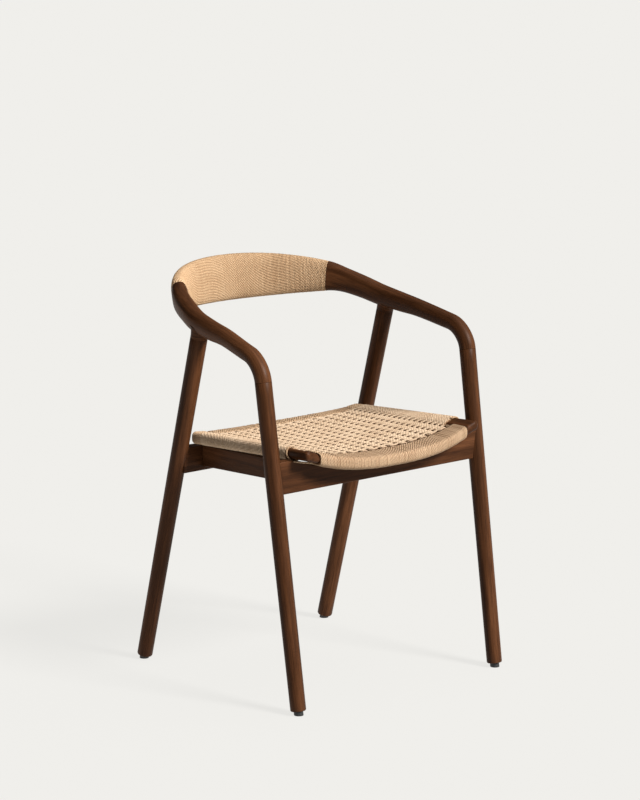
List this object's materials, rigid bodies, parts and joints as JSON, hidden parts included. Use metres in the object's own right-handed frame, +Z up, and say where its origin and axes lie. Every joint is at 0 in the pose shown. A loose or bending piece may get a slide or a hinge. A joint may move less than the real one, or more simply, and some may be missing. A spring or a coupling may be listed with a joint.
{
  "type": "wooden armchair",
  "caption": "Wooden armchair with round splayed legs, arms that sweep into a curved cord-wrapped back rail, and a woven paper-cord seat.",
  "frame": {"origin": "on the floor, under the middle of the chair's bounding box", "axes": "+Z up, the chair faces -Y, +X is the sitter's left"},
  "size_m": [0.5228, 0.5358, 0.743],
  "materials": {
    "walnut": "dark brown stained walnut, satin lacquer, straight grain along each piece",
    "beech": "plain pale wood, unfinished, inside the joints",
    "paper_cord": "natural tan twisted paper cord, matt",
    "steel": "zinc-plated wood screws",
    "glide": "black plastic nail-on glides"
  },
  "bodies": {
    "root": {"arm_left": "walnut", "arm_right": "walnut", "corner_block_front_left": "beech", "corner_block_front_right": "beech", "corner_block_rear_left": "beech", "corner_block_rear_right": "beech", "crest_cord_wrap": "paper_cord", "crest_dowel_lower_left": "beech", "crest_dowel_lower_right": "beech", "crest_dowel_upper_left": "beech", "crest_dowel_upper_right": "beech", "crest_rail": "walnut", "front_apron": "walnut", "front_apron_dowel_lower_left": "beech", "front_apron_dowel_lower_right": "beech", "front_apron_dowel_upper_left": "beech", "front_apron_dowel_upper_right": "beech", "front_glide_left": "glide", "front_glide_right": "glide", "front_leg_dowel_left": "beech", "front_leg_dowel_right": "beech", "front_leg_left": "walnut", "front_leg_right": "walnut", "rear_apron": "walnut", "rear_apron_dowel_lower_left": "beech", "rear_apron_dowel_lower_right": "beech", "rear_apron_dowel_upper_left": "beech", "rear_apron_dowel_upper_right": "beech", "rear_glide_left": "glide", "rear_glide_right": "glide", "rear_leg_dowel_left": "beech", "rear_leg_dowel_right": "beech", "rear_leg_left": "walnut", "rear_leg_right": "walnut", "seat_frame_dowel_front_left": "beech", "seat_frame_dowel_front_right": "beech", "seat_frame_dowel_rear_left": "beech", "seat_frame_dowel_rear_right": "beech", "seat_front_cord": "paper_cord", "seat_front_rail": "walnut", "seat_locating_dowel_left": "beech", "seat_locating_dowel_right": "beech", "seat_panel": "paper_cord", "seat_rear_cord": "paper_cord", "seat_rear_rail": "walnut", "seat_screw_left": "steel", "seat_screw_right": "steel", "seat_side_cord_left": "paper_cord", "seat_side_cord_right": "paper_cord", "seat_side_rail_left": "walnut", "seat_side_rail_right": "walnut", "side_board_dowel_front_left": "beech", "side_board_dowel_front_right": "beech", "side_board_dowel_rear_left": "beech", "side_board_dowel_rear_right": "beech", "side_board_left": "walnut", "side_board_right": "walnut"}
  },
  "joints": []
}
